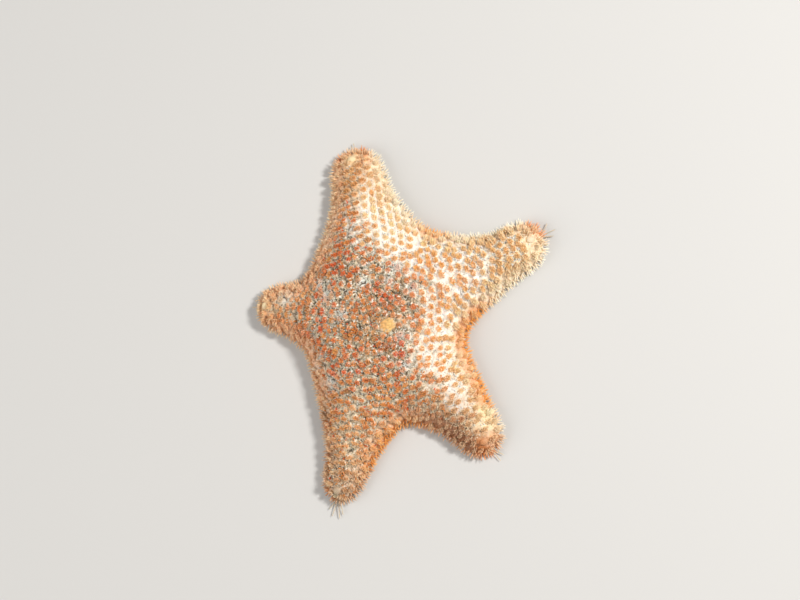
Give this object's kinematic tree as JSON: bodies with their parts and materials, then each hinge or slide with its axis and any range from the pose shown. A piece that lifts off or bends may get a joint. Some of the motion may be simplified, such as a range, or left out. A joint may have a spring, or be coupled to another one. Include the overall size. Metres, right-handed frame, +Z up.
{
  "type": "cushion star",
  "caption": "Small plump orange and cream starfish with short blunt arms, a spiny upper surface and tube feet underneath, lying flat.",
  "frame": {"origin": "on the floor, under the middle of the whole star's footprint", "axes": "+Z up out of the star's back, +Y towards the upper arm of the picture, along the star's longest extent, +X towards the right arm's side"},
  "size_m": [0.0448, 0.054, 0.0091],
  "materials": {
    "star_skin": "matt, slightly moist",
    "madreporite_plate": "matt",
    "tip_plate": "slightly moist",
    "jaw_plate": "matt"
  },
  "bodies": {
    "root": {"disc": "star_skin", "arm_upper": "star_skin", "arm_right": "star_skin", "arm_lower_right": "star_skin", "arm_lower_left": "star_skin", "arm_left": "star_skin", "madreporite": "madreporite_plate", "tip_plate_upper": "tip_plate", "tip_plate_right": "tip_plate", "tip_plate_lower_right": "tip_plate", "tip_plate_lower_left": "tip_plate", "tip_plate_left": "tip_plate", "mouth_frame": "jaw_plate"}
  },
  "joints": []
}
